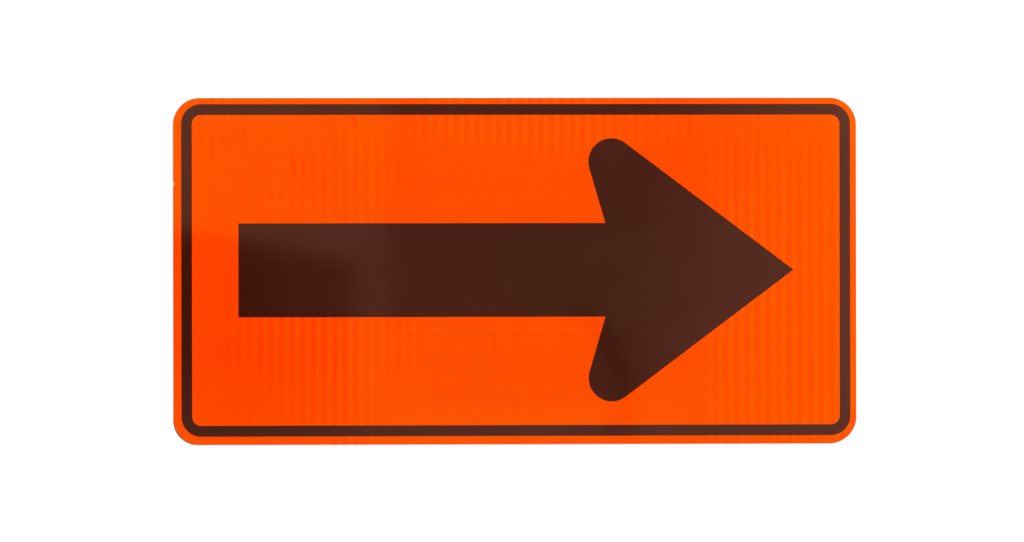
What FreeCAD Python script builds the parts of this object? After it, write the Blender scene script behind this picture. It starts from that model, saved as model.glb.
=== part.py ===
"""One-direction large-arrow warning sign: a flat aluminium panel faced with prismatic sheeting.

The sign is a stack of flat layers. From the back forward they are the aluminium blank, the
reflective sheeting (adhesive, seal film and prism film) and the legend, which is a border and an
arrow cut from dark film, each on its own adhesive.

Frame, in millimetres: the origin is the centre of the blank's back face, +X is the reader's right,
+Z is up, and the sign is read from the -Y side. Every layer is drawn in the XZ plane and grows
towards -Y.
"""

import FreeCAD, Part
import math
import os

INCH = 25.4

# Aluminium blank.
BLANK_WIDTH = 48 * INCH
BLANK_HEIGHT = 24 * INCH
BLANK_CORNER = 1.875 * INCH
BLANK_LOWER_LEFT_CORNER = 1.6875 * INCH  # cut fuller than the others, so its metal shows
BLANK_THICKNESS = 0.080 * INCH
EDGE_BREAK = 0.25  # the blank's sheared edges are dressed by a bevel this wide, front and back

# Sheeting, trimmed a little inside the blank's edge so that it can't be caught and lifted.
SHEETING_SETBACK = 0.3
SHEETING_ADHESIVE = 0.09
SEAL_FILM = 0.08
PRISM_FILM = 0.23

# Legend film and its adhesive.
LEGEND_ADHESIVE = 0.03
LEGEND_FILM = 0.05
LEGEND_OFFSET_X = 1.8  # the legend as a whole sits this far right of the blank's centre
LEGEND_OFFSET_Z = 1.8  # and this far above it

# Border.
BORDER_MARGIN = 0.5 * INCH
BORDER_WIDTH = 0.75 * INCH
BORDER_OUTER_CORNER = 1.375 * INCH
BORDER_INNER_CORNER = BORDER_OUTER_CORNER - BORDER_WIDTH

# Arrow. The barbs are round, and their places are given from the tip and from the arrow's axis.
ARROW_LENGTH = 39 * INCH
SHAFT_HEIGHT = 6.5 * INCH
BARB_RADIUS = 1.625 * INCH
BARB_BEHIND_TIP = 12.8125 * INCH
BARB_OFF_AXIS = 7.5 * INCH
THROAT_BEHIND_TIP = 13.25 * INCH  # where the back of the head meets the shaft


def at(x, z):
    """A point of an outline, in the XZ plane."""
    return FreeCAD.Vector(x, 0, z)


def rounded_rectangle(width, height, corner, lower_left_corner):
    """The closed outline of a centred rectangle with round corners, one with its own radius."""
    half_w = width / 2
    half_h = height / 2
    arcs = []
    ends = []
    for turn_x, turn_z in ((1, 1), (-1, 1), (-1, -1), (1, -1)):
        radius = lower_left_corner if turn_x + turn_z == -2 else corner
        reach = radius * (1 - math.sqrt(0.5))  # from each side in to the middle of the arc
        upright_end = at(turn_x * half_w, turn_z * (half_h - radius))
        level_end = at(turn_x * (half_w - radius), turn_z * half_h)
        middle = at(turn_x * (half_w - reach), turn_z * (half_h - reach))
        arcs.append(Part.Arc(upright_end, middle, level_end).toShape())
        ends.append((upright_end, level_end) if turn_x == turn_z else (level_end, upright_end))
    sides = []
    for corner_index in range(4):
        before = ends[corner_index - 1][1]
        after = ends[corner_index][0]
        sides.append(Part.makeLine(before, after))
    return Part.Wire(Part.__sortEdges__(arcs + sides))


def tangent_point(outside_x, outside_z, side):
    """Where a line from a point outside the upper barb's circle touches that circle.

    Seen from the point, side is +1 for the touching point on the left of the circle and -1 for the
    one on its right.
    """
    to_centre_x = -BARB_BEHIND_TIP - outside_x
    to_centre_z = BARB_OFF_AXIS - outside_z
    distance = math.hypot(to_centre_x, to_centre_z)
    bearing = math.atan2(to_centre_z, to_centre_x) + side * math.asin(BARB_RADIUS / distance)
    reach = math.sqrt(distance ** 2 - BARB_RADIUS ** 2)
    return outside_x + reach * math.cos(bearing), outside_z + reach * math.sin(bearing)


def arrow_outline():
    """The closed outline of the arrow, measured from its tip and centred on the origin's height."""
    half_shaft = SHAFT_HEIGHT / 2
    front = tangent_point(0, 0, -1)
    rear = tangent_point(-THROAT_BEHIND_TIP, half_shaft, 1)
    edges = []
    for half in (1, -1):
        tip = at(0, 0)
        front_end = at(front[0], half * front[1])
        barb_top = at(-BARB_BEHIND_TIP, half * (BARB_OFF_AXIS + BARB_RADIUS))
        rear_end = at(rear[0], half * rear[1])
        throat = at(-THROAT_BEHIND_TIP, half * half_shaft)
        tail = at(-ARROW_LENGTH, half * half_shaft)
        edges.append(Part.makeLine(tip, front_end))
        edges.append(Part.Arc(front_end, barb_top, rear_end).toShape())
        edges.append(Part.makeLine(rear_end, throat))
        edges.append(Part.makeLine(throat, tail))
    edges.append(Part.makeLine(at(-ARROW_LENGTH, half_shaft), at(-ARROW_LENGTH, -half_shaft)))
    return Part.Wire(Part.__sortEdges__(edges))


def layer(face, back, thickness):
    """A flat layer: the face moved to depth back and thickened towards the reader."""
    placed = face.copy()
    placed.translate(FreeCAD.Vector(0, -back, 0))
    return placed.extrude(FreeCAD.Vector(0, -thickness, 0))


def aluminium_blank():
    """The sheared blank, with its front and back edges bevelled."""
    corners = (BLANK_CORNER, BLANK_LOWER_LEFT_CORNER)
    outline = rounded_rectangle(BLANK_WIDTH, BLANK_HEIGHT, *corners)
    sheet = layer(Part.Face(outline), 0, BLANK_THICKNESS)
    rim = [
        edge
        for edge in sheet.Edges
        if abs(edge.BoundBox.YMax - edge.BoundBox.YMin) < EDGE_BREAK
    ]
    return sheet.makeChamfer(EDGE_BREAK, rim)


def sheeting_face():
    """The sheeting's flat shape, with four equal corners."""
    width = BLANK_WIDTH - 2 * SHEETING_SETBACK
    height = BLANK_HEIGHT - 2 * SHEETING_SETBACK
    corner = BLANK_CORNER - SHEETING_SETBACK
    return Part.Face(rounded_rectangle(width, height, corner, corner))


def border_face():
    """The border's flat shape, one closed ring."""
    outer_width = BLANK_WIDTH - 2 * BORDER_MARGIN
    outer_height = BLANK_HEIGHT - 2 * BORDER_MARGIN
    inner_width = outer_width - 2 * BORDER_WIDTH
    inner_height = outer_height - 2 * BORDER_WIDTH
    outer_corners = (BORDER_OUTER_CORNER, BORDER_OUTER_CORNER)
    inner_corners = (BORDER_INNER_CORNER, BORDER_INNER_CORNER)
    outer = Part.Face(rounded_rectangle(outer_width, outer_height, *outer_corners))
    inner = Part.Face(rounded_rectangle(inner_width, inner_height, *inner_corners))
    ring = outer.cut(inner)
    ring.translate(at(LEGEND_OFFSET_X, LEGEND_OFFSET_Z))
    return ring.Faces[0]


def arrow_face():
    """The arrow's flat shape, with its length centred in the border."""
    face = Part.Face(arrow_outline())
    face.translate(at(ARROW_LENGTH / 2 + LEGEND_OFFSET_X, LEGEND_OFFSET_Z))
    return face


def build():
    """Every layer of the sign, by name."""
    seal_back = BLANK_THICKNESS + SHEETING_ADHESIVE
    prism_back = seal_back + SEAL_FILM
    legend_back = prism_back + PRISM_FILM
    film_back = legend_back + LEGEND_ADHESIVE
    sheeting = sheeting_face()
    pieces = {
        "aluminium_blank": aluminium_blank(),
        "sheeting_adhesive": layer(sheeting, BLANK_THICKNESS, SHEETING_ADHESIVE),
        "seal_film": layer(sheeting, seal_back, SEAL_FILM),
        "prism_film": layer(sheeting, prism_back, PRISM_FILM),
    }
    for name, face in (("border", border_face()), ("arrow", arrow_face())):
        pieces[name + "_adhesive"] = layer(face, legend_back, LEGEND_ADHESIVE)
        pieces[name + "_film"] = layer(face, film_back, LEGEND_FILM)
    return pieces


os.makedirs("parts", exist_ok=True)
for name, shape in build().items():
    shape.exportStep(os.path.join("parts", name + ".step"))
    box = shape.BoundBox
    size = f"{box.XLength:.2f} x {box.YLength:.2f} x {box.ZLength:.2f} mm"
    print(f"{name}: {size}, valid {shape.isValid()}")
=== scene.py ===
"""The looks of a one-direction large-arrow sign panel, built round its CAD frame.

Everything is in metres in the CAD's own frame: +X to the reader's right, +Z up, and the sign is read
from the -Y side. Each flat layer of the sign is rebuilt with finely rounded corners and dressed
edges, exactly where the CAD puts it, and gets a procedural material. The rest is a pale floor, soft
studio light and the camera.
"""

import math

import bpy
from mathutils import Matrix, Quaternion, Vector


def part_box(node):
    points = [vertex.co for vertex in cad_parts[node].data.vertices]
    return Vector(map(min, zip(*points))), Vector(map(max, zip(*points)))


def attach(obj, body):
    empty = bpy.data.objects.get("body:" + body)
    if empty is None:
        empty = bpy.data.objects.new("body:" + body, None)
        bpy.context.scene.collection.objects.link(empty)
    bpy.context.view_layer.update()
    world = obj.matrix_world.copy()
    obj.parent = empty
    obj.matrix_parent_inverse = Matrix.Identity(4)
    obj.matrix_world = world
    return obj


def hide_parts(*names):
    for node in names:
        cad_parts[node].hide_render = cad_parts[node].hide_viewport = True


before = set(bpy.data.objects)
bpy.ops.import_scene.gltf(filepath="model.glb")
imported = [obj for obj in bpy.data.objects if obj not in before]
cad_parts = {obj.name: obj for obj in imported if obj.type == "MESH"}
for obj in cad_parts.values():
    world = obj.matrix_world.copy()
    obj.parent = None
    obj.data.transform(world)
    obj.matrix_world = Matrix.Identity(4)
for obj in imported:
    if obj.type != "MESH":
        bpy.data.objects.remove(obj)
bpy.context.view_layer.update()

INCH = 0.0254
MM = 0.001

# The panel, as the CAD places it.
PANEL_LOW, PANEL_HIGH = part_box("aluminium_blank")
PANEL_WIDTH = PANEL_HIGH.x - PANEL_LOW.x
PANEL_HEIGHT = PANEL_HIGH.z - PANEL_LOW.z
PANEL_THICKNESS = PANEL_HIGH.y - PANEL_LOW.y

# Shapes that a box alone doesn't give.
BLANK_CORNER = 1.875 * INCH
BLANK_LOWER_LEFT_CORNER = 1.6875 * INCH
BORDER_WIDTH = 0.75 * INCH
BORDER_CORNER = 1.375 * INCH
SHAFT_HEIGHT = 6.5 * INCH
BARB_RADIUS = 1.625 * INCH
BARB_BEHIND_TIP = 12.8125 * INCH
THROAT_BEHIND_TIP = 13.25 * INCH
CORNER_STEPS = 24  # straight steps in each quarter circle
METAL_EDGE = 0.25 * MM  # radius of the blank's dressed edges
FILM_EDGE = 0.02 * MM  # radius of a knife-cut film's edge
GLUE_EDGE = FILM_EDGE / 4  # and of the thin adhesive's under the legend

# A nick in the sheeting's left edge: each point's distance in from the edge and above NICK_HEIGHT,
# in millimetres.
NICK_HEIGHT = 153 * MM
NICK = ((0, 4.3), (0.9, 3.6), (1.3, 2.2), (2.1, 1.3), (2.3, 0.2), (1.6, -1.0), (1.8, -2.1), (0.8, -3.4),
        (0, -4.0))


# ---------------------------------------------------------------- outlines, as (x, z) points


def arc(centre_x, centre_z, radius, start, end, steps):
    """Points from the start angle to the end angle, in degrees, both ends included."""
    points = []
    for step in range(steps + 1):
        angle = math.radians(start + (end - start) * step / steps)
        points.append((centre_x + radius * math.cos(angle), centre_z + radius * math.sin(angle)))
    return points


def rounded_rectangle(low, high, corner, lower_left_corner, left_side=()):
    """A rectangle with round corners, anticlockwise as read, from its top right corner.

    left_side holds points to pass through on the way down the left side.
    """
    right, left = high.x - corner, low.x + corner
    top, bottom = high.z - corner, low.z + corner
    points = arc(right, top, corner, 0, 90, CORNER_STEPS)
    points += arc(left, top, corner, 90, 180, CORNER_STEPS)
    points += left_side
    inner_x, inner_z = low.x + lower_left_corner, low.z + lower_left_corner
    points += arc(inner_x, inner_z, lower_left_corner, 180, 270, CORNER_STEPS)
    points += arc(right, bottom, corner, 270, 360, CORNER_STEPS)
    return points


def tangent_angle(from_x, from_z, centre_x, centre_z, radius, side):
    """The angle, in degrees round a circle, at which a line from an outside point touches it.

    side is +1 where the line passes the circle on its left and -1 on its right.
    """
    distance = math.hypot(centre_x - from_x, centre_z - from_z)
    bearing = math.atan2(centre_z - from_z, centre_x - from_x)
    return math.degrees(bearing + side * (math.asin(radius / distance) + math.pi / 2))


def arrow_outline(low, high):
    """The arrow that fills a box, anticlockwise as read, from its tip."""
    axis = (low.z + high.z) / 2
    barb_x = high.x - BARB_BEHIND_TIP
    barb_z = high.z - BARB_RADIUS
    throat_x = high.x - THROAT_BEHIND_TIP
    shaft_top = axis + SHAFT_HEIGHT / 2
    front = tangent_angle(high.x, axis, barb_x, barb_z, BARB_RADIUS, -1)
    rear = tangent_angle(throat_x, shaft_top, barb_x, barb_z, BARB_RADIUS, 1)
    upper = arc(barb_x, barb_z, BARB_RADIUS, front, rear, 2 * CORNER_STEPS)
    upper += [(throat_x, shaft_top), (low.x, shaft_top)]
    lower = [(x, 2 * axis - z) for x, z in reversed(upper)]
    return [(high.x, axis)] + upper + lower


def insets(outline):
    """For each point of an anticlockwise outline, the step that moves both its sides 1 inwards."""
    steps = []
    for index, (x, z) in enumerate(outline):
        before_x, before_z = outline[index - 1]
        after_x, after_z = outline[(index + 1) % len(outline)]
        arriving = Vector((before_z - z, x - before_x)).normalized()
        leaving = Vector((z - after_z, after_x - x)).normalized()
        steps.append((arriving + leaving) / (1 + arriving.dot(leaving)))
    return steps


# ---------------------------------------------------------------- flat layers


def edge_profile(back, front, radius, steps=3):
    """(inset, y) pairs over a layer's edge, from its back face round to its front face."""
    profile = []
    for step in range(steps + 1):
        turn = math.radians(90 * step / steps)
        profile.append((radius * (1 - math.sin(turn)), back - radius * (1 - math.cos(turn))))
    return profile + [(inset, front + back - y) for inset, y in reversed(profile)]


def wall(vertices, faces, outline, profile, sign):
    """Adds the wall round an outline and returns the index of its first point.

    profile holds (inset, y) pairs. sign is 1 round the outside of a layer and -1 round a hole in it.
    """
    first = len(vertices)
    count = len(outline)
    steps = insets(outline)
    for inset, y in profile:
        for (x, z), step in zip(outline, steps):
            vertices.append((x + sign * inset * step.x, y, z + sign * inset * step.y))
    for ring in range(len(profile) - 1):
        for index in range(count):
            near = first + ring * count + index
            beside = first + ring * count + (index + 1) % count
            quad = (near, near + count, beside + count, beside)
            faces.append(quad[::-1] if sign > 0 else quad)
    return first


def layer(name, node, outline, edge, hole=None):
    """A closed flat layer that fills a CAD node's thickness, with rounded edges."""
    low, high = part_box(node)
    profile = edge_profile(high.y, low.y, edge)
    vertices, faces = [], []
    count = len(outline)
    rim = (len(profile) - 1) * count
    outside = wall(vertices, faces, outline, profile, 1)
    walls = len(faces)
    if hole is None:
        faces.append(tuple(range(outside, outside + count)))
        faces.append(tuple(reversed(range(outside + rim, outside + rim + count))))
    else:
        inside = wall(vertices, faces, hole, profile, -1)
        walls = len(faces)
        for index in range(count):
            beside = (index + 1) % count
            faces.append((outside + index, outside + beside, inside + beside, inside + index))
            faces.append(
                (
                    outside + rim + beside,
                    outside + rim + index,
                    inside + rim + index,
                    inside + rim + beside,
                )
            )
    mesh = bpy.data.meshes.new(name)
    mesh.from_pydata(vertices, [], faces)
    mesh.validate()
    for polygon in mesh.polygons:
        polygon.use_smooth = polygon.index < walls
    piece = bpy.data.objects.new(name, mesh)
    bpy.context.scene.collection.objects.link(piece)
    return piece


# ---------------------------------------------------------------- node trees


class Tree:
    """Short calls for writing one node tree. Operands are numbers, tuples or other nodes' sockets."""

    def __init__(self, tree):
        self.tree = tree
        tree.nodes.clear()

    def plug(self, socket, value):
        if isinstance(value, bpy.types.NodeSocket):
            self.tree.links.new(value, socket)
        else:
            socket.default_value = value

    def node(self, kind, inputs=None, **settings):
        made = self.tree.nodes.new(kind)
        for key, value in settings.items():
            setattr(made, key, value)
        for key, value in (inputs or {}).items():
            self.plug(made.inputs[key], value)
        return made

    def math(self, operation, *operands):
        return self.node("ShaderNodeMath", dict(enumerate(operands)), operation=operation).outputs[0]

    def add(self, first, second):
        return self.math("ADD", first, second)

    def times(self, first, second):
        return self.math("MULTIPLY", first, second)

    def greater(self, first, second):
        return self.math("MAXIMUM", first, second)

    def step(self, value, start, end, low=0.0, high=1.0):
        """Eases from low to high as the value goes from start to end."""
        inputs = {"Value": value, "From Min": start, "From Max": end, "To Min": low, "To Max": high}
        made = self.node("ShaderNodeMapRange", inputs, interpolation_type="SMOOTHSTEP")
        return made.outputs["Result"]

    def ramp(self, value, stops):
        """Two curves over a value from 0 to 1, as the red and green of one colour.

        Each stop is a place and the two curves' heights there.
        """
        made = self.node("ShaderNodeValToRGB", {"Fac": value})
        elements = made.color_ramp.elements
        while len(elements) < len(stops):
            elements.new(0.5)
        for element, (place, first, second) in zip(elements, stops):
            element.position = place
            element.color = (first, second, 0, 1)
        return made.outputs["Color"]

    def stretch(self, vector, scale):
        inputs = {0: vector, 1: scale}
        return self.node("ShaderNodeVectorMath", inputs, operation="MULTIPLY").outputs[0]

    def noise(self, vector, scale, detail=2.0, roughness=0.5, distortion=0.0):
        inputs = {
            "Vector": vector,
            "Scale": scale,
            "Detail": detail,
            "Roughness": roughness,
            "Distortion": distortion,
        }
        return self.node("ShaderNodeTexNoise", inputs).outputs["Fac"]

    def blend(self, factor, first, second):
        inputs = {"Factor": factor, "A": first, "B": second}
        made = self.node("ShaderNodeMix", None, data_type="RGBA", clamp_factor=True)
        for socket in made.inputs:
            if socket.enabled and socket.name in inputs:
                self.plug(socket, inputs[socket.name])
        return next(socket for socket in made.outputs if socket.enabled)

    def bump(self, height, distance, normal=None):
        inputs = {"Height": height, "Distance": distance, "Strength": 1.0}
        if normal is not None:
            inputs["Normal"] = normal
        return self.node("ShaderNodeBump", inputs).outputs["Normal"]


def new_material(name, **values):
    """A material with one Principled shader. Returns the material, its tree and the shader."""
    material = bpy.data.materials.new(name)
    material.use_nodes = True
    tree = Tree(material.node_tree)
    shader = tree.node("ShaderNodeBsdfPrincipled", values)
    tree.node("ShaderNodeOutputMaterial", {"Surface": shader.outputs["BSDF"]})
    return material, tree, shader


def place_on(tree, space="Object"):
    """The place on a surface: in metres, or from 0 to 1 over the mesh's box if space is Generated."""
    return tree.node("ShaderNodeTexCoord").outputs[space]


def split(tree, vector):
    """A vector's X, Y and Z."""
    parts = tree.node("ShaderNodeSeparateXYZ", {"Vector": vector}).outputs
    return parts["X"], parts["Y"], parts["Z"]


def split_curves(tree, curves):
    """The two heights that a ramp gives."""
    parts = tree.node("ShaderNodeSeparateColor", {"Color": curves}).outputs
    return parts["Red"], parts["Green"]


def between(tree, factor, first, second):
    """A number that goes from the first to the second as the factor goes from 0 to 1."""
    inputs = {"Factor": factor, "A": first, "B": second}
    return tree.node("ShaderNodeMix", inputs).outputs["Result"]


# ---------------------------------------------------------------- materials

# The sheeting's moulded pattern.
CELL_WIDTH = 4.72 * MM  # one sealed diamond cell
CELL_HEIGHT = 6.67 * MM
BAND_PITCH = 4 * CELL_WIDTH  # two upright bands, whose prisms face opposite ways
BAND_CENTRE = 7.9 * MM  # the middle of one first band
SEAM_HEIGHT = -103.3 * MM  # where two plates of the prism mould meet
SEAM_WIDTH = 1.1 * MM

# Each pair is for a light cell and for a dark one; the dark cells are painted shade.
CELL_ORANGES = ((0.65, 0.047, 0.0, 1), (0.65, 0.005, 0.0, 1))
SEAL_ORANGES = ((1.0, 0.047, 0.0, 1), (1.0, 0.057, 0.0, 1))
SEAM_ORANGE = (1.0, 0.075, 0.0, 1)
SMEAR_ORANGE = (0.8, 0.013, 0.0, 1)
SPECK_ORANGE = (1.0, 0.18, 0.02, 1)
SHEETING_GLOSS = (1.0, 0.95, 0.01, 1)

LEGEND_BROWNS = ((0.029, 0.0037, 0.0009, 1), (0.036, 0.0050, 0.0014, 1))
LEGEND_GLOSS = (1.0, 0.40, 0.27, 1)

METAL_GREYS = ((0.50, 0.505, 0.515, 1), (0.65, 0.655, 0.66, 1))
SHEARED_GREYS = ((0.22, 0.20, 0.18, 1), (0.38, 0.36, 0.33, 1))
SMUDGE_GREY = (0.40, 0.40, 0.395, 1)
SCRATCH_GREY = (0.80, 0.80, 0.80, 1)
EDGE_BROWN = (0.30, 0.15, 0.055, 1)

# How dark the cells look from left to right, a painted shade for how differently the two bands' prisms
# catch the light: a place, then the first and the second bands' cells.
# Each curve holds at one height, and the next pairs are the heights where one gives way to another.
FOOT_CELLS = ((0.0, 0.38, 0.36), (0.10, 0.34, 0.52), (0.15, 0.36, 0.56), (0.20, 0.09, 0.83),
              (0.25, 0.06, 0.86), (0.29, 0.27, 0.69), (0.335, 0.70, 0.70), (0.385, 0.93, 0.73),
              (0.44, 0.80, 0.90), (0.57, 0.89, 0.77), (0.77, 0.87, 0.79), (0.80, 0.08, 0.92),
              (0.92, 0.10, 0.84), (1.0, 0.22, 0.70))
LOW_CELLS = ((0.0, 0.38, 0.36), (0.06, 0.34, 0.46), (0.105, 0.16, 0.70), (0.15, 0.06, 0.86),
             (0.20, 0.0, 0.98), (0.26, 0.0, 0.98), (0.325, 0.32, 0.88), (0.385, 0.79, 0.85),
             (0.48, 0.70, 0.94), (0.57, 0.89, 0.77), (0.765, 0.84, 0.82), (0.80, 0.05, 0.95),
             (0.86, 0.03, 0.96), (0.92, 0.10, 0.86), (1.0, 0.22, 0.72))
HIGH_CELLS = ((0.0, 0.33, 0.07), (0.10, 0.30, 0.10), (0.14, 0.10, 0.36), (0.20, 0.0, 0.48),
              (0.30, 0.0, 0.62), (0.335, 0.40, 0.46), (0.37, 0.65, 0.71), (0.46, 0.64, 0.75),
              (0.53, 0.70, 0.70), (0.76, 0.77, 0.71), (0.81, 0.12, 0.78), (0.90, 0.12, 0.80),
              (1.0, 0.22, 0.72))
TOP_CELLS = ((0.0, 0.70, 0.04), (0.10, 0.56, 0.08), (0.15, 0.17, 0.23), (0.245, 0.0, 0.46),
             (0.30, 0.18, 0.26), (0.34, 0.77, 0.21), (0.48, 0.81, 0.19), (0.53, 0.93, 0.07),
             (0.62, 0.87, 0.13), (0.68, 0.74, 0.22), (0.76, 0.74, 0.18), (0.81, 0.52, 0.38),
             (0.855, 0.08, 0.80), (0.92, 0.33, 0.52), (1.0, 0.39, 0.39))

LOW_TO_HIGH = (-100 * MM, 100 * MM)
LOW_TO_FOOT = (-120 * MM, -230 * MM)
HIGH_TO_TOP = (178 * MM, 235 * MM)  # where the top's bands are tallest
TOP_MIDDLE = 0.55  # their place from left to right,
TOP_REACH = 0.26  # how far to each side of it they are shortest, and
TOP_FALL = 130 * MM  # how much shorter they would be a whole panel's width from it

# Painted shading: how light the sheeting is from left to right, lighter in the middle, for how the light
# and its reflection fall on it: a place, then half the lightness low and high up.
PAINTED_LIGHTNESS = ((0.0, 0.50, 0.43), (0.24, 0.50, 0.44), (0.27, 0.51, 0.485), (0.31, 0.515, 0.50),
             (0.33, 0.575, 0.50), (0.375, 0.64, 0.585), (0.62, 0.64, 0.585), (0.70, 0.575, 0.525),
             (0.76, 0.515, 0.49), (0.88, 0.475, 0.46), (1.0, 0.48, 0.465))

# Rubbed marks on the sheeting, in millimetres: middle x and z, half width, half height and lean.
SMEARS = ((-396, 191, 4.4, 21, -0.22), (-378, 178, 4.2, 19, -0.06), (-357, 164, 4.0, 15, -0.12),
          (-341, 157, 4.2, 16, -0.10), (-286, 263, 4.4, 11, -0.25), (-296, 272, 9.0, 2.5, 0.0),
          (372, -152, 2.8, 6, -0.20), (357, -155, 3.0, 9, 0.0))
SMEAR_RAGGEDNESS = 9.0 * MM  # how far their sides wander
SPECK = (429.5, -225.5, 1.2, 0.9, 0.0)
BROWN_REACH = 80 * MM  # how far from the blank's lower left corner its edge turns brown


def seal_line(tree, phase):
    """1 where phase is a whole number, falling off steeply and then gently beside it."""
    away = tree.math("PINGPONG", phase, 0.5)
    return tree.add(tree.step(away, 0.03, 0.075, 0.25, 0.0), tree.step(away, 0.02, 0.38, 0.75, 0.0))


def seal_net(tree, x, z):
    """The net of seal lines round the diamond cells: 1 on a line, 0 in a cell's middle."""
    across = tree.math("DIVIDE", x, CELL_WIDTH)
    up = tree.math("DIVIDE", z, CELL_HEIGHT)
    rising = seal_line(tree, tree.math("SUBTRACT", across, up))
    falling = seal_line(tree, tree.add(across, up))
    return tree.greater(rising, falling)


def painted_cell_shade(tree, vector, x, z, along, upper):
    """How dark the cells look, as painted shade: the bands show where their two kinds of prism catch the
    light differently, mapped by place over the panel.
    """
    turn = tree.math("DIVIDE", tree.math("SUBTRACT", x, BAND_CENTRE), BAND_PITCH)
    second_band = tree.step(tree.math("PINGPONG", turn, 0.5), 0.21, 0.29)
    cells = tree.blend(upper, tree.ramp(along, LOW_CELLS), tree.ramp(along, HIGH_CELLS))
    cells = tree.blend(tree.step(z, *LOW_TO_FOOT), cells, tree.ramp(along, FOOT_CELLS))
    off_middle = tree.math("PINGPONG", tree.math("SUBTRACT", along, TOP_MIDDLE), TOP_REACH)
    rise = tree.math("MULTIPLY_ADD", off_middle, -TOP_FALL, z)
    cells = tree.blend(tree.step(rise, *HIGH_TO_TOP), cells, tree.ramp(along, TOP_CELLS))
    chosen = between(tree, second_band, *split_curves(tree, cells))
    patchy = tree.step(tree.noise(vector, 6.0, 3.0), 0.35, 0.65, 0.85, 1.1)
    return tree.times(chosen, patchy)


def painted_lightness(tree, along, upper):
    """Painted shading: a slow change of lightness over the sheeting for how the light falls on it, 1
    where it is at its plain orange.
    """
    half = between(tree, upper, *split_curves(tree, tree.ramp(along, PAINTED_LIGHTNESS)))
    return tree.times(half, 2.0)


def mark(tree, x, z, middle_x, middle_z, half_width, half_height, lean):
    """1 in the middle of an oval mark, given in millimetres, easing to 0 at its rim."""
    up = tree.math("SUBTRACT", z, middle_z * MM)
    across = tree.math("MULTIPLY_ADD", up, -lean, tree.math("SUBTRACT", x, middle_x * MM))
    across = tree.math("DIVIDE", across, half_width * MM)
    up = tree.math("DIVIDE", up, half_height * MM)
    reach = tree.math("MULTIPLY_ADD", up, up, tree.times(across, across))
    return tree.step(reach, 0.3, 1.2, 1.0, 0.0)


def sheeting_material():
    """Fluorescent orange film over sealed prisms."""
    material, tree, shader = new_material("orange_sheeting")
    vector = place_on(tree)
    x, _, z = split(tree, vector)
    net = seal_net(tree, x, z)
    clouds = tree.step(tree.noise(vector, 3.2, 3.0), 0.3, 0.7, 0.93, 1.07)
    grain = tree.step(tree.noise(vector, 260.0, 2.0), 0.3, 0.7, 0.96, 1.04)
    openness = tree.math("SUBTRACT", 1.0, net)
    along = tree.math("DIVIDE", tree.math("SUBTRACT", x, PANEL_LOW.x), PANEL_WIDTH)
    upper = tree.step(z, *LOW_TO_HIGH)
    # Painted shade on the cells, by band and place.
    cell_shade = painted_cell_shade(tree, vector, x, z, along, upper)
    cells = tree.blend(cell_shade, *CELL_ORANGES)
    seals = tree.blend(cell_shade, *SEAL_ORANGES)
    colour = tree.blend(net, cells, seals)
    ragged = tree.noise(vector, 110.0, 2.0)
    ragged = tree.math("MULTIPLY_ADD", ragged, SMEAR_RAGGEDNESS, -SMEAR_RAGGEDNESS / 2)
    ragged_x = tree.add(x, ragged)
    smeared = 0.0
    for smear in SMEARS:
        smeared = tree.greater(smeared, mark(tree, ragged_x, z, *smear))
    smeared = tree.times(smeared, tree.step(openness, 0.0, 0.4, 0.25, 0.6))
    colour = tree.blend(smeared, colour, SMEAR_ORANGE)
    off_seam = tree.math("ABSOLUTE", tree.math("SUBTRACT", z, SEAM_HEIGHT))
    seam = tree.step(off_seam, SEAM_WIDTH * 0.3, SEAM_WIDTH * 0.6, 1.0, 0.0)
    colour = tree.blend(tree.times(seam, 0.5), colour, SEAM_ORANGE)
    colour = tree.blend(mark(tree, x, z, *SPECK), colour, SPECK_ORANGE)
    # The tone is random clouds and grain times the painted shading.
    tone = tree.times(tree.times(clouds, grain), painted_lightness(tree, along, upper))
    mottle_and_painted_light = tree.node("ShaderNodeCombineXYZ", {"X": 1.0, "Y": tone, "Z": 1.0})
    tree.plug(shader.inputs["Base Color"], tree.stretch(colour, mottle_and_painted_light.outputs["Vector"]))
    tree.plug(shader.inputs["Roughness"], tree.step(tree.noise(vector, 9.0), 0.3, 0.7, 0.06, 0.085))
    shader.inputs["Specular Tint"].default_value = SHEETING_GLOSS
    waves = tree.bump(tree.noise(vector, 3.0, 1.0), 0.4 * MM)
    peel = tree.bump(tree.noise(vector, 180.0, 2.0), 0.0015 * MM, waves)
    sunk = tree.bump(openness, 0.0015 * MM, peel)
    tree.plug(shader.inputs["Normal"], sunk)
    return material


def legend_material():
    """Dark film with a little of the orange showing through it."""
    material, tree, shader = new_material("dark_legend")
    vector = place_on(tree)
    clouds = tree.noise(vector, 6.0, 4.0, 0.6)
    grain = tree.noise(vector, 420.0, 2.0)
    tone = tree.add(tree.times(clouds, 0.7), tree.times(grain, 0.3))
    tree.plug(shader.inputs["Base Color"], tree.blend(tree.step(tone, 0.3, 0.7), *LEGEND_BROWNS))
    tree.plug(shader.inputs["Roughness"], tree.step(tree.noise(vector, 14.0, 3.0), 0.3, 0.7, 0.07, 0.10))
    shader.inputs["Specular IOR Level"].default_value = 0.58
    shader.inputs["Specular Tint"].default_value = LEGEND_GLOSS
    waves = tree.bump(tree.noise(vector, 3.0, 1.0), 0.4 * MM)
    peel = tree.bump(tree.noise(vector, 240.0, 2.0), 0.0015 * MM, waves)
    tree.plug(shader.inputs["Normal"], peel)
    return material


def sheared_edge(tree, vector):
    """1 on the blank's sheared edge, and 0 on its back and front."""
    _, y, _ = split(tree, vector)
    from_back = tree.math("SUBTRACT", PANEL_HIGH.y, y)
    from_front = tree.math("SUBTRACT", PANEL_THICKNESS, from_back)
    nearer = tree.math("MINIMUM", from_back, from_front)
    return tree.step(nearer, 0.02 * MM, 0.10 * MM)


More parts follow.
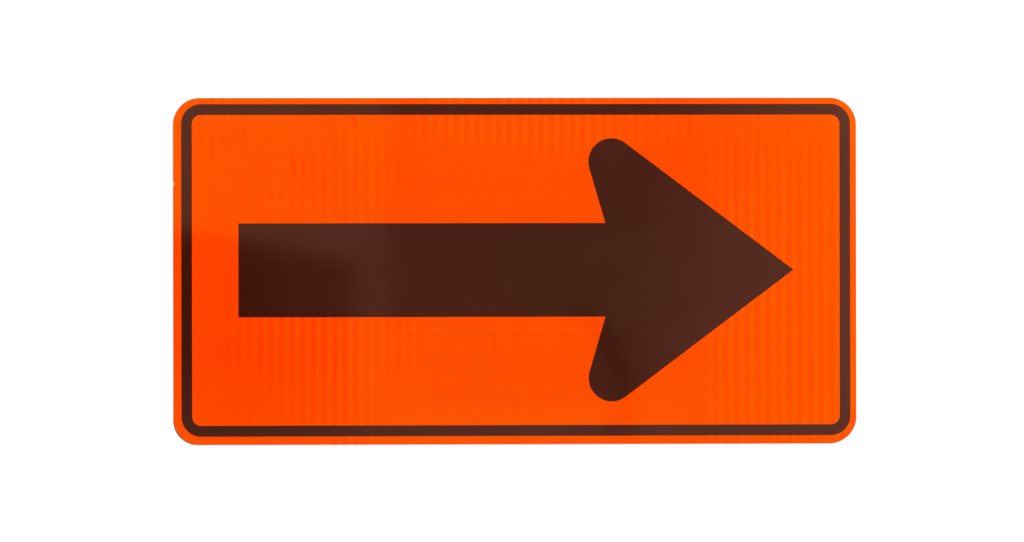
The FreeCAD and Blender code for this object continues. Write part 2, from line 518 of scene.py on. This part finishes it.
def brown_corner_edge(tree, vector):
    """1 on the front part of the blank's edge round its lower left corner."""
    x, y, z = split(tree, vector)
    off_x = tree.math("SUBTRACT", x, PANEL_LOW.x)
    off_z = tree.math("SUBTRACT", z, PANEL_LOW.z)
    off_corner = tree.math("MULTIPLY_ADD", off_x, off_x, tree.times(off_z, off_z))
    near = tree.step(off_corner, BROWN_REACH**2 / 2, BROWN_REACH**2, 1.0, 0.0)
    in_front = tree.step(tree.math("SUBTRACT", PANEL_HIGH.y, y), 0.5 * MM, 1.2 * MM)
    return tree.times(near, in_front)


def aluminium_material():
    """Mill-finish sheet: fine grain along its rolling direction, X, with handling marks."""
    material, tree, shader = new_material("mill_sheet", Metallic=1.0)
    vector = place_on(tree)
    fine = tree.noise(tree.stretch(vector, (5.0, 60.0, 1100.0)), 1.0, 3.0, 0.6)
    broad = tree.noise(tree.stretch(vector, (0.8, 10.0, 26.0)), 1.0, 2.0, 0.5)
    clouds = tree.noise(vector, 3.0, 3.0, 0.5)
    smudges = tree.step(tree.noise(vector, 6.0, 5.0, 0.6), 0.54, 0.74)
    scratches = tree.noise(tree.stretch(vector, (7.0, 40.0, 1500.0)), 1.0, 2.0, 0.5)
    scratches = tree.times(tree.step(scratches, 0.66, 0.72), tree.step(clouds, 0.5, 0.6))
    tone = tree.add(tree.times(fine, 0.45), tree.add(tree.times(broad, 0.2), tree.times(clouds, 0.35)))
    colour = tree.blend(tree.step(tone, 0.34, 0.66), *METAL_GREYS)
    colour = tree.blend(tree.times(smudges, 0.22), colour, SMUDGE_GREY)
    colour = tree.blend(tree.times(scratches, 0.4), colour, SCRATCH_GREY)
    teeth = tree.noise(tree.stretch(vector, (900.0, 120.0, 900.0)), 1.0, 3.0, 0.6)
    sheared = sheared_edge(tree, vector)
    colour = tree.blend(sheared, colour, tree.blend(tree.step(teeth, 0.3, 0.7), *SHEARED_GREYS))
    # The front of the edge round the lower left corner is made browner.
    brown_edge = tree.times(brown_corner_edge(tree, vector), tree.step(teeth, 0.2, 0.5, 0.75, 1.0))
    colour = tree.blend(brown_edge, colour, EDGE_BROWN)
    tree.plug(shader.inputs["Base Color"], colour)
    rough = tree.step(tree.add(tree.times(fine, 0.5), tree.times(clouds, 0.5)), 0.3, 0.7, 0.32, 0.44)
    rough = tree.add(rough, tree.times(smudges, 0.10))
    tree.plug(shader.inputs["Roughness"], tree.add(rough, tree.times(sheared, 0.12)))
    waves = tree.bump(tree.noise(vector, 2.5, 1.0), 0.8 * MM)
    grain = tree.bump(fine, 0.010 * MM, waves)
    tree.plug(shader.inputs["Normal"], tree.bump(scratches, 0.008 * MM, grain))
    return material


def plain_film(name, dark, light, roughness):
    """A thin film or adhesive that shows only as a line at the panel's edge."""
    material, tree, shader = new_material(name)
    tone = tree.step(tree.noise(place_on(tree), 150.0, 4.0), 0.3, 0.7)
    tree.plug(shader.inputs["Base Color"], tree.blend(tone, dark, light))
    tree.plug(shader.inputs["Roughness"], tree.step(tone, 0.0, 1.0, roughness, roughness + 0.1))
    return material


def adhesive_material():
    """Clear pressure-sensitive adhesive, a little yellow where it is seen edge on."""
    return plain_film("clear_edge", (0.70, 0.68, 0.60, 1), (0.84, 0.82, 0.76, 1), 0.35)


def seal_film_material():
    """White plastic film that closes the backs of the prism cells."""
    return plain_film("white_edge", (0.78, 0.78, 0.75, 1), (0.90, 0.90, 0.88, 1), 0.5)


# ---------------------------------------------------------------- the sign

# One finish for each of the record's material slots.
FINISHES = {
    "mill_aluminium": aluminium_material(),
    "clear_adhesive": adhesive_material(),
    "white_seal_film": seal_film_material(),
    "orange_prismatic_film": sheeting_material(),
    "dark_legend_film": legend_material(),
}


def finish_piece(piece, node, finish):
    """The piece stands for its CAD node, takes the finish of a material slot and rides with the sign."""
    piece.data.materials.append(FINISHES[finish])
    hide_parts(node)
    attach(piece, "root")


def add_blank(name, node, finish, edge):
    """The aluminium blank. Its lower left corner is cut fuller than the others."""
    outline = rounded_rectangle(PANEL_LOW, PANEL_HIGH, BLANK_CORNER, BLANK_LOWER_LEFT_CORNER)
    finish_piece(layer(name, node, outline, edge), node, finish)


def add_sheet(name, node, finish, edge):
    """A layer of the sheeting, which is nicked on its left side."""
    low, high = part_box(node)
    corner = BLANK_CORNER - (low.x - PANEL_LOW.x)
    nick = [(low.x + reach * MM, NICK_HEIGHT + up * MM) for reach, up in NICK]
    outline = rounded_rectangle(low, high, corner, corner, nick)
    finish_piece(layer(name, node, outline, edge), node, finish)


def add_border(name, node, finish, edge):
    """A layer in the shape of the border's ring."""
    low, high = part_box(node)
    width = Vector((BORDER_WIDTH, 0, BORDER_WIDTH))
    outline = rounded_rectangle(low, high, BORDER_CORNER, BORDER_CORNER)
    corner = BORDER_CORNER - BORDER_WIDTH
    hole = rounded_rectangle(low + width, high - width, corner, corner)
    finish_piece(layer(name, node, outline, edge, hole), node, finish)


def add_arrow(name, node, finish, edge):
    """A layer in the shape of the arrow."""
    outline = arrow_outline(*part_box(node))
    finish_piece(layer(name, node, outline, edge), node, finish)


add_blank("sign_blank", "aluminium_blank", "mill_aluminium", METAL_EDGE)
add_sheet("sheeting_glue", "sheeting_adhesive", "clear_adhesive", FILM_EDGE)
add_sheet("sheeting_backing", "seal_film", "white_seal_film", FILM_EDGE)
add_sheet("orange_face", "prism_film", "orange_prismatic_film", FILM_EDGE)
add_border("border_glue", "border_adhesive", "clear_adhesive", GLUE_EDGE)
add_border("dark_border", "border_film", "dark_legend_film", FILM_EDGE)
add_arrow("arrow_glue", "arrow_adhesive", "clear_adhesive", GLUE_EDGE)
add_arrow("dark_arrow", "arrow_film", "dark_legend_film", FILM_EDGE)


# ---------------------------------------------------------------- studio

VIEW_AZIMUTH = -9.52  # degrees to the reader's left of straight on
VIEW_ROLL = -0.094  # degrees
LENS = 880.0
SENSOR = 36.0
FIELD_WIDTH = 1.80223  # what the frame's width spans at the panel
AIM_LEFT = 5.93 * MM  # the frame's middle is this far left of the panel's

FLOOR_RADIUS = 6.0
FLOOR_WHITES = ((0.80, 0.80, 0.80, 1), (0.83, 0.83, 0.83, 1))

centre = (PANEL_LOW + PANEL_HIGH) / 2


def add_camera():
    """A long lens almost straight in front of the panel."""
    data = bpy.data.cameras.new("camera")
    data.lens = LENS
    data.sensor_width = SENSOR
    distance = FIELD_WIDTH * LENS / SENSOR
    data.clip_start, data.clip_end = 1.0, 3 * distance
    camera = bpy.data.objects.new("camera", data)
    bpy.context.scene.collection.objects.link(camera)
    azimuth = math.radians(VIEW_AZIMUTH)
    back = Vector((math.sin(azimuth), -math.cos(azimuth), 0))
    camera.location = centre + back * distance - Vector((AIM_LEFT, 0, 0))
    facing = (-back).to_track_quat("-Z", "Y")
    roll = Quaternion((0, 0, 1), math.radians(VIEW_ROLL))
    camera.rotation_euler = (facing @ roll).to_euler()
    bpy.context.scene.camera = camera
    return camera


def add_floor():
    """A pale floor under the panel's lower edge."""
    mesh = bpy.data.meshes.new("floor")
    ring = arc(0, 0, FLOOR_RADIUS, 0, 360, 96)[:-1]
    mesh.from_pydata([(x, y, 0) for x, y in ring], [], [tuple(range(len(ring)))])
    floor = bpy.data.objects.new("floor", mesh)
    floor.location = (0, 0, PANEL_LOW.z)
    bpy.context.scene.collection.objects.link(floor)
    material, tree, shader = new_material("floor_paint", Roughness=0.9)
    tone = tree.step(tree.noise(place_on(tree), 1.5, 3.0), 0.3, 0.7)
    tree.plug(shader.inputs["Base Color"], tree.blend(tone, *FLOOR_WHITES))
    mesh.materials.append(material)


def add_softbox(name, place, size, power):
    """A square area light that faces the panel's middle."""
    data = bpy.data.lights.new(name, "AREA")
    data.shape = "SQUARE"
    data.size = size
    data.energy = power
    light = bpy.data.objects.new(name, data)
    light.location = place
    light.rotation_euler = (centre - Vector(place)).to_track_quat("-Z", "Y").to_euler()
    bpy.context.scene.collection.objects.link(light)


CARD_DISTANCE = 1.2  # in front of the panel
CARD_REACH_X = 1.7  # how far the card reaches, against the part that the panel mirrors
CARD_REACH_Z = 1.5


def mirrored(camera, x, z):
    """Where the camera's ray to a place on the panel, mirrored there, meets the card's plane."""
    ray = Vector((x, PANEL_LOW.y, z)) - camera.location
    reach = CARD_DISTANCE / ray.y
    return Vector((x + ray.x * reach, PANEL_LOW.y - CARD_DISTANCE, z + ray.z * reach))


def card_light(tree, across, up):
    """The card's white: brighter at the left, towards the right, at the top and near the floor."""
    white = tree.step(across, -0.41, -0.35, 0.92, 0.52)
    rightward = tree.math("MULTIPLY_ADD", up, -0.15, across)
    white = tree.add(white, tree.step(rightward, 0.25, 0.78, 0.0, 0.54))
    white = tree.add(white, tree.step(across, 0.90, 1.02, 0.0, 0.82))
    white = tree.add(white, tree.step(across, -0.90, -1.0, 0.0, 0.34))
    high = tree.step(up, 0.55, 0.95, 0.0, 0.09)
    outward = tree.step(tree.math("ABSOLUTE", across), 0.38, 0.75, 0.0, 0.24)
    high = tree.add(high, tree.times(tree.step(up, 0.78, 0.94), outward))
    floor_glow = tree.step(across, -0.6, 0.9, 0.98, 1.30)
    return tree.blend(tree.step(up, -0.62, -0.92), tree.add(white, high), floor_glow)


def card_cast(tree, across, up):
    """A faint green cast over an oval a little right of the middle."""
    beside = tree.math("MULTIPLY_ADD", across, 3.3, -0.73)
    above = tree.times(up, 2.9)
    off_cast = tree.math("MULTIPLY_ADD", beside, beside, tree.times(above, above))
    return tree.blend(tree.step(off_cast, 0.3, 1.3, 1.0, 0.0), (1, 1, 1, 1), (0.76, 1.20, 1.0, 1))


def card_shadow(tree, across, down):
    """A soft shadow that starts under the middle, and curves right and spreads on its way down."""
    bend = tree.times(down, tree.math("MULTIPLY_ADD", down, -0.49, 0.71))
    off_shadow = tree.math("SUBTRACT", tree.math("SUBTRACT", across, 0.0575), bend)
    spread = tree.math("MULTIPLY_ADD", down, 0.05, 0.035)
    off_shadow = tree.math("DIVIDE", tree.math("ABSOLUTE", off_shadow), spread)
    shadow = tree.step(off_shadow, 0.0, 1.0, 1.0, 0.0)
    begun = tree.step(down, 0.08, 0.30, 0.0, 0.80)
    strength = tree.math("SUBTRACT", begun, tree.step(down, 0.42, 0.60, 0.0, 0.25))
    return tree.times(shadow, strength)


def card_window(tree, across, up):
    """1 on a dim window at the lower left, whose top edge slopes down to the right."""
    slope = tree.math("MULTIPLY_ADD", across, 0.375, up)
    under = tree.step(slope, -0.17, -0.07, 1.0, 0.0)
    return tree.times(under, tree.step(across, -0.52, -0.42, 1.0, 0.0))


def window_light(tree, across, up, down):
    """The dim window's light: more to the right, towards the floor and at the far left."""
    rightward = tree.step(across, -0.85, -0.50, 0.10, 0.30)
    light = tree.add(tree.step(up, -0.45, -1.0, 0.0, 0.45), rightward)
    far_left = tree.times(tree.step(across, -0.90, -1.0), tree.step(down, 0.1, 0.6, 0.0, 0.18))
    return tree.add(light, far_left)


def card_material():
    """The card's glow. across and up run from -1 to 1 over the part of it that the panel mirrors."""
    material = bpy.data.materials.new("card_glow")
    material.use_nodes = True
    tree = Tree(material.node_tree)
    x, y, _ = split(tree, place_on(tree, "Generated"))
    across = tree.math("MULTIPLY_ADD", x, 2 * CARD_REACH_X, -CARD_REACH_X)
    up = tree.math("MULTIPLY_ADD", y, 2 * CARD_REACH_Z, -CARD_REACH_Z)
    down = tree.times(up, -1.0)
    glow = tree.stretch(card_light(tree, across, up), card_cast(tree, across, up))
    glow = tree.blend(card_shadow(tree, across, down), glow, (0, 0, 0, 1))
    glow = tree.blend(card_window(tree, across, up), glow, window_light(tree, across, up, down))
    emission = tree.node("ShaderNodeEmission", {"Color": glow, "Strength": 1.0})
    tree.node("ShaderNodeOutputMaterial", {"Surface": emission.outputs["Emission"]})
    material.cycles.emission_sampling = "NONE"
    return material


def add_card(camera):
    """A glowing card in front of the panel, which only the panel's gloss shows."""
    low = mirrored(camera, -CARD_REACH_X * PANEL_WIDTH / 2, -CARD_REACH_Z * PANEL_HEIGHT / 2)
    high = mirrored(camera, CARD_REACH_X * PANEL_WIDTH / 2, CARD_REACH_Z * PANEL_HEIGHT / 2)
    width, height = high.x - low.x, high.z - low.z
    mesh = bpy.data.meshes.new("card")
    corners = ((0, 0, 0), (width, 0, 0), (width, height, 0), (0, height, 0))
    mesh.from_pydata(corners, [], [(0, 1, 2, 3)])
    mesh.materials.append(card_material())
    card = bpy.data.objects.new("card", mesh)
    card.location = low
    card.rotation_euler = (math.radians(90), 0, 0)
    card.visible_camera = False
    card.visible_diffuse = False
    card.visible_shadow = False
    bpy.context.scene.collection.objects.link(card)


def add_world():
    """White behind the sign, and a soft room, brighter overhead, which its gloss shows dimmer."""
    world = bpy.data.worlds.new("studio")
    world.use_nodes = True
    bpy.context.scene.world = world
    tree = Tree(world.node_tree)
    _, _, overhead = split(tree, tree.node("ShaderNodeTexCoord").outputs["Generated"])
    room = tree.step(overhead, -0.1, 0.8, 0.935, 1.50)
    mirrored_room = tree.step(overhead, -0.2, 0.9, 0.35, 0.80)
    path = tree.node("ShaderNodeLightPath")
    colour = tree.blend(path.outputs["Is Glossy Ray"], room, mirrored_room)
    colour = tree.blend(path.outputs["Is Camera Ray"], colour, (1.1, 1.1, 1.1, 1))
    background = tree.node("ShaderNodeBackground", {"Color": colour, "Strength": 1.0})
    tree.node("ShaderNodeOutputWorld", {"Surface": background.outputs["Background"]})


camera = add_camera()
add_floor()
add_world()
add_softbox("key", (-2.4, -3.0, 2.6), 2.4, 30.0)
add_softbox("fill", (2.8, -2.6, 2.0), 2.0, 17.0)
add_softbox("rear", (-1.6, 3.0, 2.4), 2.0, 20.0)
add_card(camera)
bpy.context.scene.view_settings.view_transform = "Standard"
